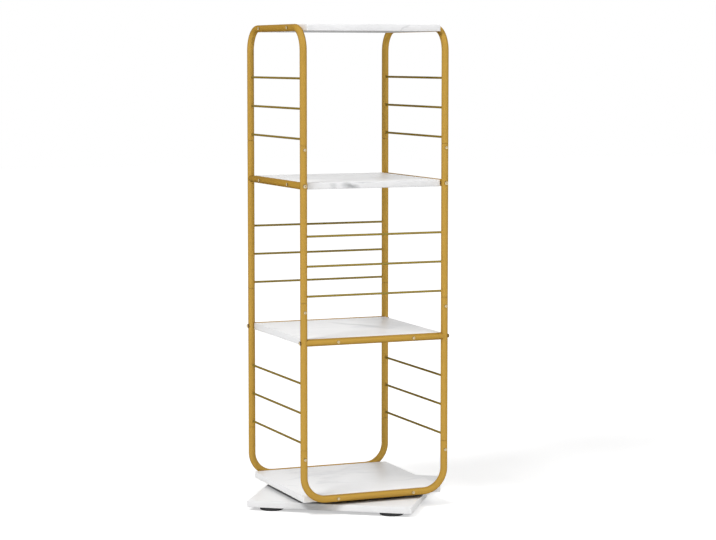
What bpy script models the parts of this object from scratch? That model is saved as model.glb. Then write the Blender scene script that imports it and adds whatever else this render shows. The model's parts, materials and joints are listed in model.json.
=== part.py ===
"""Revolving bookcase: four marble-look shelves in a tube tower that turns on a square base.

The tower stands square to the X and Y axes, with its front towards -Y and its left towards -X.
The base board below the turntable is turned about Z, which is the axis that the tower spins on.
The origin is on that axis, at the floor.
"""

import math

import bmesh
import bpy
from mathutils import Matrix, Vector

# Tube tower
POST_SPACING = 0.344  # between the centre lines of neighbouring posts
TUBE_DIAMETER = 0.016
TUBE_WALL = 0.001
BEND_RADIUS = 0.052  # of the centre line in a bent corner
ROD_DIAMETER = 0.005
ROD_SPACING = 0.067
RODS_PER_LADDER = 3
FIRST_ROD_ABOVE_SEAM = 0.0145

# Boards
BOARD_THICKNESS = 0.015
BOARD_SETBACK = 0.003  # from the post centre line to a shelf's open edge
BOARD_SIDE_GAP = 0.0025  # between a shelf's edges and the bars on both sides of it
BOARD_EDGE = 0.0006  # chamfer along the board edges
BASE_SIDE = 0.381
BASE_TURN = math.radians(-34.4)  # of the base against the tower, seen from above

# Heights, from one shelf's middle plane to the next
BOTTOM_TIER = 0.3555
MIDDLE_TIER = 0.350
TOP_TIER = 0.3505
BOTTOM_SEAM_ABOVE_SHELF = 0.114
SEAM_ABOVE_SHELF = 0.0895

# Swaged ends, which slip into the tubes below them
SPIGOT_LENGTH = 0.035
SWAGE_START = 0.001  # above the seam, where the bore begins to widen
SWAGE_LENGTH = 0.002
PLUG_LENGTH = 0.014  # threaded plug in each end of a crossbar

# Screws
SMALL_SHANK_DIAMETER = 0.004
SMALL_HEAD_DIAMETER = 0.007
SMALL_HEAD_TOP_DIAMETER = 0.0056
SMALL_HEAD_HEIGHT = 0.0022
JOINT_SCREW_LENGTH = 0.006
SHELF_SCREW_LENGTH = 0.030
SHELF_SCREW_SPREAD = 0.184  # between the two screws of one bar
LARGE_SHANK_DIAMETER = 0.005
LARGE_HEAD_DIAMETER = 0.009
LARGE_HEAD_TOP_DIAMETER = 0.0072
LARGE_HEAD_HEIGHT = 0.0034
CROSSBAR_SCREW_LENGTH = 0.028
JOINT_SCREW_DROP = 0.0205  # below the bottom and middle seams
TOP_JOINT_SCREW_DROP = 0.009  # below the top seam
HOLE_END_ROOM = 0.001  # past the tip of a screw in a board

# Feet
FOOT_DIAMETER = 0.055
FOOT_HEIGHT = 0.008
FOOT_INSET_SIDE = 0.051  # from the base's left and right edges to a foot's centre
FOOT_INSET_END = 0.031  # from the base's front and back edges to a foot's centre
FOOT_CHAMFER = 0.0012
FOOT_RECESS_DIAMETER = 0.011
FOOT_RECESS_DEPTH = 0.004

# Ball-bearing turntable
TURNTABLE_HEIGHT = 0.008
PLATE_SIDE = 0.150
PLATE_THICKNESS = 0.0012
PLATE_CORNER = 0.012
PLATE_RIM_WIDTH = 0.006  # from the race to the plate's opening
PLATE_HOLE_DIAMETER = 0.0045
PLATE_HOLE_INSET = 0.010
BALL_CIRCLE_DIAMETER = 0.124
BALL_DIAMETER = 0.004
BALL_COUNT = 12
RACE_WIDTH = 0.012
RACE_GAP = 0.0012  # between the lower and the upper race
CAGE_THICKNESS = 0.0006
CAGE_WIDTH = 0.009

# Clearances
FIT_GAP = 0.0003  # between pieces that touch
HOLE_CLEARANCE = 0.0003  # between a screw's shank and its hole
BALL_CLEARANCE = 0.0003  # between a ball and its grooves

# Roundness
TUBE_SIDES = 16
ROD_SIDES = 8
SCREW_SIDES = 8
BEND_STEPS = 6
FOOT_SIDES = 20
RACE_SIDES = 40
GROOVE_STEPS = 4
BALL_SIDES = 8
BALL_BANDS = 4
PLATE_CORNER_STEPS = 3
SMOOTH_ANGLE = math.radians(35)

# Sizes worked out from those above
TUBE_RADIUS = TUBE_DIAMETER / 2
BORE_RADIUS = TUBE_RADIUS - TUBE_WALL
SPIGOT_RADIUS = BORE_RADIUS - FIT_GAP
SPIGOT_BORE_RADIUS = SPIGOT_RADIUS - TUBE_WALL
HALF_SPACING = POST_SPACING / 2
BASE_BOTTOM = FOOT_HEIGHT
BASE_TOP = BASE_BOTTOM + BOARD_THICKNESS
BOTTOM_SHELF_HEIGHT = BASE_TOP + TURNTABLE_HEIGHT + BOARD_THICKNESS / 2
LOWER_SHELF_HEIGHT = BOTTOM_SHELF_HEIGHT + BOTTOM_TIER
UPPER_SHELF_HEIGHT = LOWER_SHELF_HEIGHT + MIDDLE_TIER
TOP_SHELF_HEIGHT = UPPER_SHELF_HEIGHT + TOP_TIER
BOTTOM_SEAM = BOTTOM_SHELF_HEIGHT + BOTTOM_SEAM_ABOVE_SHELF
MIDDLE_SEAM = LOWER_SHELF_HEIGHT + SEAM_ABOVE_SHELF
TOP_SEAM = UPPER_SHELF_HEIGHT + SEAM_ABOVE_SHELF
BOARD_LENGTH = POST_SPACING - 2 * BOARD_SETBACK
BOARD_WIDTH = POST_SPACING - TUBE_DIAMETER - 2 * BOARD_SIDE_GAP
SMALL_HOLE_RADIUS = SMALL_SHANK_DIAMETER / 2 + HOLE_CLEARANCE
LARGE_HOLE_RADIUS = LARGE_SHANK_DIAMETER / 2 + HOLE_CLEARANCE
HEAD_SEAT = TUBE_RADIUS + FIT_GAP  # from a tube's centre line to the underside of a head

# A piece is modelled on the tower's front face and turned about Z to its own face.
FACE_TURN = {
    "front": 0.0,
    "right": math.radians(90),
    "back": math.radians(180),
    "left": math.radians(-90),
}


def clear_scene():
    for item in list(bpy.data.objects):
        bpy.data.objects.remove(item)


def make_material(name, color, roughness, metallic):
    material = bpy.data.materials.new(name)
    material.use_nodes = True
    shader = material.node_tree.nodes["Principled BSDF"]
    shader.inputs["Base Color"].default_value = (*color, 1.0)
    shader.inputs["Roughness"].default_value = roughness
    shader.inputs["Metallic"].default_value = metallic
    material.diffuse_color = (*color, 1.0)
    return material


def make_empty(name, turn=0.0):
    """An empty on the turning axis, which carries the pieces of one body."""
    empty = bpy.data.objects.new(name, None)
    empty.rotation_euler.z = turn
    empty.hide_render = True
    bpy.context.scene.collection.objects.link(empty)
    return empty


def place(name, mesh, material, parent, location=(0, 0, 0), rotation=None):
    """Put one piece into the scene. Copies of a piece share its mesh."""
    if not mesh.materials:
        mesh.materials.append(material)
        mesh.shade_smooth()
        mesh.set_sharp_from_angle(angle=SMOOTH_ANGLE)
    piece = bpy.data.objects.new(name, mesh)
    piece.parent = parent
    piece.location = location
    if rotation is not None:
        piece.rotation_euler = rotation
    bpy.context.scene.collection.objects.link(piece)
    return piece


def mesh_from(builder, name):
    """Turn a finished bmesh into a mesh with its faces pointing out."""
    bmesh.ops.recalc_face_normals(builder, faces=builder.faces)
    mesh = bpy.data.meshes.new(name)
    builder.to_mesh(mesh)
    builder.free()
    return mesh


def combine(base, tool, operation):
    """Join the tool mesh to the base mesh, or cut it away, and return the result."""
    scene_objects = bpy.context.scene.collection.objects
    holder = bpy.data.objects.new("holder", base)
    helper = bpy.data.objects.new("helper", tool)
    scene_objects.link(holder)
    scene_objects.link(helper)
    modifier = holder.modifiers.new("combine", "BOOLEAN")
    modifier.operation = operation
    modifier.solver = "EXACT"
    modifier.object = helper
    evaluated = holder.evaluated_get(bpy.context.evaluated_depsgraph_get())
    result = bpy.data.meshes.new_from_object(evaluated)
    result.name = base.name
    bpy.data.objects.remove(holder)
    bpy.data.objects.remove(helper)
    return result


def ring(builder, centre, across, upright, radius, sides, phase=0.0):
    """A circle of vertices around a centre, in the plane of two unit vectors."""
    step = 2 * math.pi / sides
    return [
        builder.verts.new(
            centre
            + across * (radius * math.cos(phase + step * i))
            + upright * (radius * math.sin(phase + step * i))
        )
        for i in range(sides)
    ]


def skin(builder, rings, closed=False):
    """Faces from each ring of vertices to the next, and back to the first if closed."""
    pairs = list(zip(rings, rings[1:]))
    if closed:
        pairs.append((rings[-1], rings[0]))
    for lower, upper in pairs:
        for i in range(len(lower)):
            j = (i + 1) % len(lower)
            builder.faces.new((lower[i], lower[j], upper[j], upper[i]))


def add_bar(builder, start, end, radius, sides):
    """A solid round bar, with flats rather than corners towards its two side axes."""
    along = (end - start).normalized()
    across = Vector((0, 0, 1)).cross(along)
    if across.length < 0.5:
        across = Vector((1, 0, 0))
    across.normalize()
    upright = along.cross(across)
    phase = math.pi / sides
    ends = [ring(builder, point, across, upright, radius, sides, phase) for point in (start, end)]
    skin(builder, ends)
    builder.faces.new(ends[0])
    builder.faces.new(ends[1])


def bars_mesh(bars, sides):
    """Separate round bars in one mesh, each given as start, end and radius."""
    builder = bmesh.new()
    for start, end, radius in bars:
        add_bar(builder, start, end, radius, sides)
    return mesh_from(builder, "bars")


def add_tube(builder, outside, bore, side):
    """A tube from stations of centre, direction and radius, outside and in its bore."""

    def rings(stations):
        return [
            ring(builder, centre, side, direction.cross(side), radius, TUBE_SIDES)
            for centre, direction, radius in stations
        ]

    outer = rings(outside)
    inner = rings(bore)
    skin(builder, outer + inner[::-1], closed=True)


def turned_mesh(name, profile, sides, closed=False):
    """A solid turned about Z from points of radius and height."""
    builder = bmesh.new()
    x_axis = Vector((1, 0, 0))
    y_axis = Vector((0, 1, 0))
    phase = math.pi / sides
    rings = [
        ring(builder, Vector((0, 0, height)), x_axis, y_axis, radius, sides, phase)
        for radius, height in profile
    ]
    skin(builder, rings, closed)
    if not closed:
        builder.faces.new(rings[0])
        builder.faces.new(rings[-1])
    return mesh_from(builder, name)


def box_mesh(name, size, chamfer):
    """A box centred on the origin, with chamfered edges."""
    builder = bmesh.new()
    bmesh.ops.create_cube(builder, size=1.0, matrix=Matrix.Diagonal((*size, 1.0)))
    bmesh.ops.bevel(
        builder,
        geom=builder.edges[:],
        offset=chamfer,
        segments=1,
        profile=0.5,
        affect="EDGES",
        clamp_overlap=True,
    )
    return mesh_from(builder, name)


# Posts and ladders. On the front face, X runs along the face and the face lies at Y = -HALF_SPACING.


def on_face(along, height):
    return Vector((along, -HALF_SPACING, height))


UP = Vector((0, 0, 1))
FACE_NORMAL = Vector((0, 1, 0))


def spigot_outside(along, seam):
    """Outer stations of a post's swaged lower end, up to the full diameter at the seam."""
    return [
        (on_face(along, seam - SPIGOT_LENGTH), UP, SPIGOT_RADIUS),
        (on_face(along, seam), UP, SPIGOT_RADIUS),
        (on_face(along, seam), UP, TUBE_RADIUS),
    ]


def spigot_bore(along, seam):
    """Bore stations of the swaged end, widening to the tube's bore above the seam."""
    return [
        (on_face(along, seam - SPIGOT_LENGTH), UP, SPIGOT_BORE_RADIUS),
        (on_face(along, seam + SWAGE_START), UP, SPIGOT_BORE_RADIUS),
        (on_face(along, seam + SWAGE_START + SWAGE_LENGTH), UP, BORE_RADIUS),
    ]


def bend(centre_along, centre_height, start_angle, turn):
    """Centres and directions around a bent corner, along an arc of the bend radius."""
    stations = []
    for step in range(BEND_STEPS + 1):
        angle = start_angle + turn * step / BEND_STEPS
        outward = Vector((math.cos(angle), 0, math.sin(angle)))
        direction = Vector((-math.sin(angle), 0, math.cos(angle))) * math.copysign(1, turn)
        centre = on_face(centre_along, centre_height) + outward * BEND_RADIUS
        stations.append((centre, direction))
    return stations


def reversed_ends(stations):
    """The same stations walked the other way."""
    return [(centre, -direction, radius) for centre, direction, radius in reversed(stations)]


def rods_between_posts(seam):
    """The ladder's rods, each long enough to be welded into the walls of both posts."""
    rod_radius = ROD_DIAMETER / 2
    seat = math.sqrt(TUBE_RADIUS**2 - rod_radius**2) * math.cos(math.pi / TUBE_SIDES)
    reach = HALF_SPACING - (seat + BORE_RADIUS) / 2
    rods = []
    for i in range(RODS_PER_LADDER):
        height = seam + FIRST_ROD_ABOVE_SEAM + i * ROD_SPACING
        rods.append((on_face(-reach, height), on_face(reach, height), rod_radius))
    return bars_mesh(rods, ROD_SIDES)


def outer_wall_hole(start, direction, radius):
    """A hole from outside a tube to its centre line, through one wall."""
    return (start - direction * TUBE_DIAMETER, start, radius)


def through_hole(centre, direction, radius):
    """A hole through both walls of a tube."""
    return (centre - direction * TUBE_DIAMETER, centre + direction * TUBE_DIAMETER, radius)


def shelf_screw_holes(height):
    """Two holes through a bar, across to the shelf behind it."""
    return [
        through_hole(on_face(along, height), FACE_NORMAL, SMALL_HOLE_RADIUS)
        for along in (-SHELF_SCREW_SPREAD / 2, SHELF_SCREW_SPREAD / 2)
    ]


def joint_holes(height, along_face):
    """One hole in each post for a joint's screw, from the side or from the face's outside."""
    holes = []
    for side in (-1, 1):
        direction = Vector((-side, 0, 0)) if along_face else FACE_NORMAL
        holes.append(outer_wall_hole(on_face(side * HALF_SPACING, height), direction, SMALL_HOLE_RADIUS))
    return holes


def crossbar_holes(height):
    """One hole through each post for the screw in a crossbar's end."""
    return [
        through_hole(on_face(side * HALF_SPACING, height), FACE_NORMAL, LARGE_HOLE_RADIUS)
        for side in (-1, 1)
    ]


def drilled(mesh, holes):
    return combine(mesh, bars_mesh(holes, SCREW_SIDES), "DIFFERENCE")


def straight_frame(name, seam, top, holes):
    """Two posts with swaged lower ends and open tops, joined by the ladder's rods."""
    builder = bmesh.new()
    for along in (-HALF_SPACING, HALF_SPACING):
        top_centre = on_face(along, top - FIT_GAP)
        outside = spigot_outside(along, seam) + [(top_centre, UP, TUBE_RADIUS)]
        bore = spigot_bore(along, seam) + [(top_centre, UP, BORE_RADIUS)]
        add_tube(builder, outside, bore, FACE_NORMAL)
    posts = mesh_from(builder, name)
    ladder = combine(posts, rods_between_posts(seam), "UNION")
    return drilled(ladder, holes)


def top_frame(name, seam, bar_height, holes):
    """An upside-down U: two posts with swaged ends, bent over into the bar of the top shelf."""
    straight_end = HALF_SPACING - BEND_RADIUS
    bend_height = bar_height - BEND_RADIUS
    left_bend = bend(-straight_end, bend_height, math.pi, -math.pi / 2)
    right_bend = bend(straight_end, bend_height, math.pi / 2, -math.pi / 2)
    corners = left_bend + right_bend
    outside = (
        spigot_outside(-HALF_SPACING, seam)
        + [(centre, direction, TUBE_RADIUS) for centre, direction in corners]
        + reversed_ends(spigot_outside(HALF_SPACING, seam))
    )
    bore = (
        spigot_bore(-HALF_SPACING, seam)
        + [(centre, direction, BORE_RADIUS) for centre, direction in corners]
        + reversed_ends(spigot_bore(HALF_SPACING, seam))
    )
    builder = bmesh.new()
    add_tube(builder, outside, bore, FACE_NORMAL)
    ladder = combine(mesh_from(builder, name), rods_between_posts(seam), "UNION")
    return drilled(ladder, holes)


def bottom_frame(name, bar_height, top, holes):
    """A U: the bar of the bottom shelf, bent up into two posts with open tops."""
    straight_end = HALF_SPACING - BEND_RADIUS
    bend_height = bar_height + BEND_RADIUS
    left_bend = bend(-straight_end, bend_height, math.pi, math.pi / 2)
    right_bend = bend(straight_end, bend_height, -math.pi / 2, math.pi / 2)
    end_height = top - FIT_GAP

    def stations(radius):
        corners = [(centre, direction, radius) for centre, direction in left_bend + right_bend]
        start = (on_face(-HALF_SPACING, end_height), -UP, radius)
        end = (on_face(HALF_SPACING, end_height), UP, radius)
        return [start] + corners + [end]

    builder = bmesh.new()
    add_tube(builder, stations(TUBE_RADIUS), stations(BORE_RADIUS), FACE_NORMAL)
    return drilled(mesh_from(builder, name), holes)


def crossbar(name):
    """A tube with a threaded plug in each end, its ends hollowed to sit against the posts."""
    along = Vector((1, 0, 0))
    plug_end = HALF_SPACING - HEAD_SEAT - PLUG_LENGTH
    outside = [(on_face(end, 0), along, TUBE_RADIUS) for end in (-HALF_SPACING, HALF_SPACING)]
    bore = [
        (on_face(-HALF_SPACING, 0), along, LARGE_HOLE_RADIUS),
        (on_face(-plug_end, 0), along, LARGE_HOLE_RADIUS),
        (on_face(-plug_end, 0), along, BORE_RADIUS),
        (on_face(plug_end, 0), along, BORE_RADIUS),
        (on_face(plug_end, 0), along, LARGE_HOLE_RADIUS),
        (on_face(HALF_SPACING, 0), along, LARGE_HOLE_RADIUS),
    ]
    builder = bmesh.new()
    add_tube(builder, outside, bore, FACE_NORMAL)
    tube = mesh_from(builder, name)
    saddles = bmesh.new()
    for side in (-1, 1):
        rings = [
            ring(saddles, on_face(side * HALF_SPACING, height), along, FACE_NORMAL, HEAD_SEAT, TUBE_SIDES)
            for height in (-TUBE_DIAMETER, TUBE_DIAMETER)
        ]
        skin(saddles, rings)
        saddles.faces.new(rings[0])
        saddles.faces.new(rings[1])
    seated = combine(tube, mesh_from(saddles, "saddles"), "DIFFERENCE")
    return drilled(seated, shelf_screw_holes(0))


def shelf():
    """A board held between two bars that run along X, with blind holes for their screws."""
    board = box_mesh("shelf", (BOARD_LENGTH, BOARD_WIDTH, BOARD_THICKNESS), BOARD_EDGE)
    tip = HALF_SPACING + HEAD_SEAT - SHELF_SCREW_LENGTH - HOLE_END_ROOM
    holes = []
    for along in (-SHELF_SCREW_SPREAD / 2, SHELF_SCREW_SPREAD / 2):
        for side in (-1, 1):
            outside = Vector((along, side * HALF_SPACING, 0))
            inside = Vector((along, side * tip, 0))
            holes.append((outside, inside, SMALL_HOLE_RADIUS))
    return drilled(board, holes)


def screw(name, shank_diameter, length, head):
    """A pan-head screw that points down from its seat at the origin."""
    head_diameter, head_top_diameter, head_height = head
    profile = [
        (shank_diameter / 2, -length),
        (shank_diameter / 2, 0),
        (head_diameter / 2, 0),
        (head_top_diameter / 2, head_height),
    ]
    return turned_mesh(name, profile, SCREW_SIDES)


def foot():
    """A low round foot with a recess for its screw underneath."""
    radius = FOOT_DIAMETER / 2
    recess = FOOT_RECESS_DIAMETER / 2
    profile = [
        (recess, FOOT_RECESS_DEPTH),
        (recess, 0),
        (radius - FOOT_CHAMFER, 0),
        (radius, FOOT_CHAMFER),
        (radius, FOOT_HEIGHT - FIT_GAP),
    ]
    return turned_mesh("foot", profile, FOOT_SIDES)


def turntable_plate():
    """The lower plate of the turntable: a square plate with a raised, grooved race.

    Heights are from the plate's underside. The upper plate is the same piece, turned over.
    """
    race_top = TURNTABLE_HEIGHT / 2 - FIT_GAP - RACE_GAP / 2
    ball_height = TURNTABLE_HEIGHT / 2 - FIT_GAP
    ball_circle = BALL_CIRCLE_DIAMETER / 2
    groove_radius = BALL_DIAMETER / 2 + BALL_CLEARANCE
    half_arc = math.acos((ball_height - race_top) / groove_radius)
    facet_radius = groove_radius / math.cos(half_arc / GROOVE_STEPS)
    groove = [
        (
            ball_circle + facet_radius * math.sin(angle),
            ball_height - facet_radius * math.cos(angle),
        )
        for angle in (half_arc * (2 * i / GROOVE_STEPS - 1) for i in range(GROOVE_STEPS + 1))
    ]
    groove[0] = (groove[0][0], race_top)
    groove[-1] = (groove[-1][0], race_top)
    inside = ball_circle - RACE_WIDTH / 2
    outside = ball_circle + RACE_WIDTH / 2
    middle = PLATE_THICKNESS / 2
    profile = [(inside, middle), (inside, race_top), *groove, (outside, race_top), (outside, middle)]
    race = turned_mesh("race", profile, RACE_SIDES, closed=True)

    builder = bmesh.new()
    size = (PLATE_SIDE, PLATE_SIDE, PLATE_THICKNESS, 1.0)
    move = Matrix.Translation((0, 0, PLATE_THICKNESS / 2))
    bmesh.ops.create_cube(builder, size=1.0, matrix=move @ Matrix.Diagonal(size))
    corners = [e for e in builder.edges if abs(e.verts[0].co.z - e.verts[1].co.z) > PLATE_THICKNESS / 2]
    bmesh.ops.bevel(
        builder,
        geom=corners,
        offset=PLATE_CORNER,
        segments=PLATE_CORNER_STEPS,
        profile=0.5,
        affect="EDGES",
    )
    plate = combine(mesh_from(builder, "turntable_plate"), race, "UNION")

    below = Vector((0, 0, -PLATE_THICKNESS))
    above = Vector((0, 0, 2 * PLATE_THICKNESS))
    opening = bmesh.new()
    add_bar(opening, below, above, inside - PLATE_RIM_WIDTH, RACE_SIDES)
    plate = combine(plate, mesh_from(opening, "opening"), "DIFFERENCE")
    hole_place = PLATE_SIDE / 2 - PLATE_HOLE_INSET
    holes = []
    for x in (-hole_place, hole_place):
        for y in (-hole_place, hole_place):
            corner = Vector((x, y, 0))
            holes.append((corner + below, corner + above, PLATE_HOLE_DIAMETER / 2))
    return drilled(plate, holes)


def ball_cage():
    """The ring that keeps the balls apart, with its balls, centred on the ball circle's plane."""
    middle = BALL_CIRCLE_DIAMETER / 2
    inside = middle - CAGE_WIDTH / 2
    outside = middle + CAGE_WIDTH / 2
    half = CAGE_THICKNESS / 2
    profile = [(inside, -half), (outside, -half), (outside, half), (inside, half)]
    ring_mesh = turned_mesh("ball_cage", profile, RACE_SIDES, closed=True)
    balls = bmesh.new()
    for i in range(BALL_COUNT):
        angle = 2 * math.pi * (i + 0.5) / BALL_COUNT
        centre = Vector((middle * math.cos(angle), middle * math.sin(angle), 0))
        bmesh.ops.create_uvsphere(
            balls,
            u_segments=BALL_SIDES,
            v_segments=BALL_BANDS,
            radius=BALL_DIAMETER / 2,
            matrix=Matrix.Translation(centre),
        )
    return combine(ring_mesh, mesh_from(balls, "balls"), "UNION")


# The assembly

clear_scene()

gold_paint = make_material("gold_paint", (0.51, 0.30, 0.07), 0.38, 0.6)
marble_board = make_material("marble_board", (0.86, 0.86, 0.86), 0.3, 0.0)
screw_steel = make_material("screw_steel", (0.75, 0.66, 0.52), 0.3, 0.9)
foot_rubber = make_material("foot_rubber", (0.05, 0.05, 0.05), 0.7, 0.0)
turntable_steel = make_material("turntable_steel", (0.55, 0.56, 0.58), 0.35, 0.9)

base = make_empty("base_axis", BASE_TURN)
tower = make_empty("tower_axis")
cage_axis = make_empty("ball_cage_axis")

# Base board and feet
base_board = box_mesh("base_board", (BASE_SIDE, BASE_SIDE, BOARD_THICKNESS), BOARD_EDGE)
place("base_board", base_board, marble_board, base, (0, 0, BASE_BOTTOM + BOARD_THICKNESS / 2))
foot_mesh = foot()
foot_x = BASE_SIDE / 2 - FOOT_INSET_SIDE
foot_y = BASE_SIDE / 2 - FOOT_INSET_END
for name, x, y in (
    ("foot_front_left", -foot_x, -foot_y),
    ("foot_front_right", foot_x, -foot_y),
    ("foot_back_right", foot_x, foot_y),
    ("foot_back_left", -foot_x, foot_y),
):
    place(name, foot_mesh, foot_rubber, base, (x, y, 0))

# Turntable: the upper plate is the lower one turned over
plate_mesh = turntable_plate()
place("turntable_lower_plate", plate_mesh, turntable_steel, base, (0, 0, BASE_TOP + FIT_GAP))
place(
    "turntable_upper_plate",
    plate_mesh,
    turntable_steel,
    tower,
    (0, 0, BASE_TOP + TURNTABLE_HEIGHT - FIT_GAP),
    (math.pi, 0, 0),
)
place("ball_cage", ball_cage(), turntable_steel, cage_axis, (0, 0, BASE_TOP + TURNTABLE_HEIGHT / 2))

# Frames, two of each, on opposite faces
bottom_joint = BOTTOM_SEAM - JOINT_SCREW_DROP
middle_joint = MIDDLE_SEAM - JOINT_SCREW_DROP
top_joint = TOP_SEAM - TOP_JOINT_SCREW_DROP
frames = {
    "bottom_frame": (
        ("front", "back"),
        bottom_frame(
            "bottom_frame",
            BOTTOM_SHELF_HEIGHT,
            BOTTOM_SEAM,
            shelf_screw_holes(BOTTOM_SHELF_HEIGHT) + joint_holes(bottom_joint, along_face=False),
        ),
    ),
    "lower_frame": (
        ("left", "right"),
        straight_frame(
            "lower_frame",
            BOTTOM_SEAM,
            MIDDLE_SEAM,
            joint_holes(bottom_joint, along_face=True)
            + joint_holes(middle_joint, along_face=True)
            + crossbar_holes(LOWER_SHELF_HEIGHT),
        ),
    ),
    "middle_frame": (
        ("front", "back"),
        straight_frame(
            "middle_frame",
            MIDDLE_SEAM,
            TOP_SEAM,
            joint_holes(middle_joint, along_face=False)
            + joint_holes(top_joint, along_face=False)
            + crossbar_holes(UPPER_SHELF_HEIGHT),
        ),
    ),
    "top_frame": (
        ("left", "right"),
        top_frame(
            "top_frame",
            TOP_SEAM,
            TOP_SHELF_HEIGHT,
            joint_holes(top_joint, along_face=True) + shelf_screw_holes(TOP_SHELF_HEIGHT),
        ),
    ),
}
for name, (faces, mesh) in frames.items():
    for face in faces:
        place(f"{name}_{face}", mesh, gold_paint, tower, (0, 0, 0), (0, 0, FACE_TURN[face]))

# Crossbars under the two middle shelves
crossbar_mesh = crossbar("crossbar")
crossbars = {
    "front": LOWER_SHELF_HEIGHT,
    "back": LOWER_SHELF_HEIGHT,
    "left": UPPER_SHELF_HEIGHT,
    "right": UPPER_SHELF_HEIGHT,
}
for face, height in crossbars.items():
    turn = (0, 0, FACE_TURN[face])
    place(f"crossbar_{face}", crossbar_mesh, gold_paint, tower, (0, 0, height), turn)

# Shelves, each between the bars of two opposite faces
shelf_mesh = shelf()
shelves = {
    "bottom_shelf": (BOTTOM_SHELF_HEIGHT, ("front", "back")),
    "lower_shelf": (LOWER_SHELF_HEIGHT, ("front", "back")),
    "upper_shelf": (UPPER_SHELF_HEIGHT, ("left", "right")),
    "top_shelf": (TOP_SHELF_HEIGHT, ("left", "right")),
}
for name, (height, faces) in shelves.items():
    place(name, shelf_mesh, marble_board, tower, (0, 0, height), (0, 0, FACE_TURN[faces[0]]))

# Screws. Each is placed on the front face, pointing inwards, and turned to its own face.
small_head = (SMALL_HEAD_DIAMETER, SMALL_HEAD_TOP_DIAMETER, SMALL_HEAD_HEIGHT)
large_head = (LARGE_HEAD_DIAMETER, LARGE_HEAD_TOP_DIAMETER, LARGE_HEAD_HEIGHT)
joint_screw = screw("joint_screw", SMALL_SHANK_DIAMETER, JOINT_SCREW_LENGTH, small_head)
shelf_screw = screw("shelf_screw", SMALL_SHANK_DIAMETER, SHELF_SCREW_LENGTH, small_head)
crossbar_screw = screw("crossbar_screw", LARGE_SHANK_DIAMETER, CROSSBAR_SCREW_LENGTH, large_head)


def place_screw(name, mesh, face, seat, pointing):
    """Place a screw whose seat and direction are given on the front face."""
    turn = Matrix.Rotation(FACE_TURN[face], 4, "Z")
    rotation = turn.to_quaternion() @ (-pointing).to_track_quat("Z", "Y")
    place(name, mesh, screw_steel, tower, turn @ seat, rotation.to_euler())


for level, height in (("bottom", bottom_joint), ("middle", middle_joint), ("top", top_joint)):
    for face in ("front", "back"):
        for side, hand in ((-1, "a"), (1, "b")):
            seat = Vector((side * HALF_SPACING, -HALF_SPACING - HEAD_SEAT, height))
            name = f"joint_screw_{level}_{face}_{hand}"
            place_screw(name, joint_screw, face, seat, FACE_NORMAL)

for shelf_name, (height, faces) in shelves.items():
    for face in faces:
        for side, hand in ((-1, "a"), (1, "b")):
            seat = Vector((side * SHELF_SCREW_SPREAD / 2, -HALF_SPACING - HEAD_SEAT, height))
            name = f"{shelf_name}_screw_{face}_{hand}"
            place_screw(name, shelf_screw, face, seat, FACE_NORMAL)

for face, height in crossbars.items():
    for side, hand in ((-1, "a"), (1, "b")):
        seat = Vector((side * (HALF_SPACING + HEAD_SEAT), -HALF_SPACING, height))
        name = f"crossbar_{face}_screw_{hand}"
        place_screw(name, crossbar_screw, face, seat, Vector((-side, 0, 0)))
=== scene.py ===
# %% [markdown]
# # A revolving bookcase
#
# This notebook dresses the CAD frame of a tall bookcase that turns on its base. The real one is made
# of gold-painted steel tube, four square shelves with a marble print, and a ball-bearing turntable
# on a fifth board. The CAD frame gives every size and place. Here each piece is modelled again with
# round tubes, soft edges, welds and screw recesses, and gets a finish that is made from nodes.

import json
import math

import bmesh
import bpy
from mathutils import Matrix, Vector


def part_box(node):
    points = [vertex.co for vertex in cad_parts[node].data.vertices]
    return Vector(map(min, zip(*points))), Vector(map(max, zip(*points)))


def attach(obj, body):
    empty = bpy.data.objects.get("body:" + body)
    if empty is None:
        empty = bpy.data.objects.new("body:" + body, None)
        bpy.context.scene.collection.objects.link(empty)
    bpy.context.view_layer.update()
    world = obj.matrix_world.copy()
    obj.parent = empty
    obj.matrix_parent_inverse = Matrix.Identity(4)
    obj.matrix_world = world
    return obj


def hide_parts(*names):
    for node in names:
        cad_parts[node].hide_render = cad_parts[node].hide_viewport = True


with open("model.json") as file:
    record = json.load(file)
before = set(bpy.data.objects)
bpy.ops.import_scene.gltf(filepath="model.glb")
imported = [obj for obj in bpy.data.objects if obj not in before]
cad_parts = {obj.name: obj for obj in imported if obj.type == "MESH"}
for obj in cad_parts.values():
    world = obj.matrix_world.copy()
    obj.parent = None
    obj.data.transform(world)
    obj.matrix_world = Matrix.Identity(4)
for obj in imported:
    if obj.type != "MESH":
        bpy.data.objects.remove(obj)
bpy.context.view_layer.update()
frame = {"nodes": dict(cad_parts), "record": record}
bodies = frame["record"]["behaviour"]["bodies"]
print("bodies:", {name: len(nodes) for name, nodes in bodies.items()})

# %% [markdown]
# ## Small helpers
#
# Most of Blender's modelling tools act on whatever is selected, so a clean selection comes before
# every new piece. Faces and edges are picked in code by asking a question about each one, for
# example whether it looks upwards. The helpers below do these two things, and nothing about them
# belongs to the bookcase.


# %% Selection helpers
def clear_selection():
    """Leave edit mode and let go of every object."""
    if bpy.context.object and bpy.context.object.mode != "OBJECT":
        bpy.ops.object.mode_set(mode="OBJECT")
    bpy.ops.object.select_all(action="DESELECT")


def activate(piece):
    """Make one object the only selected one."""
    clear_selection()
    bpy.context.view_layer.objects.active = piece
    piece.select_set(True)


def edit(piece, action="DESELECT"):
    """Go into edit mode with nothing selected, or everything."""
    activate(piece)
    bpy.ops.object.mode_set(mode="EDIT")
    bpy.ops.mesh.select_all(action=action)


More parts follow.
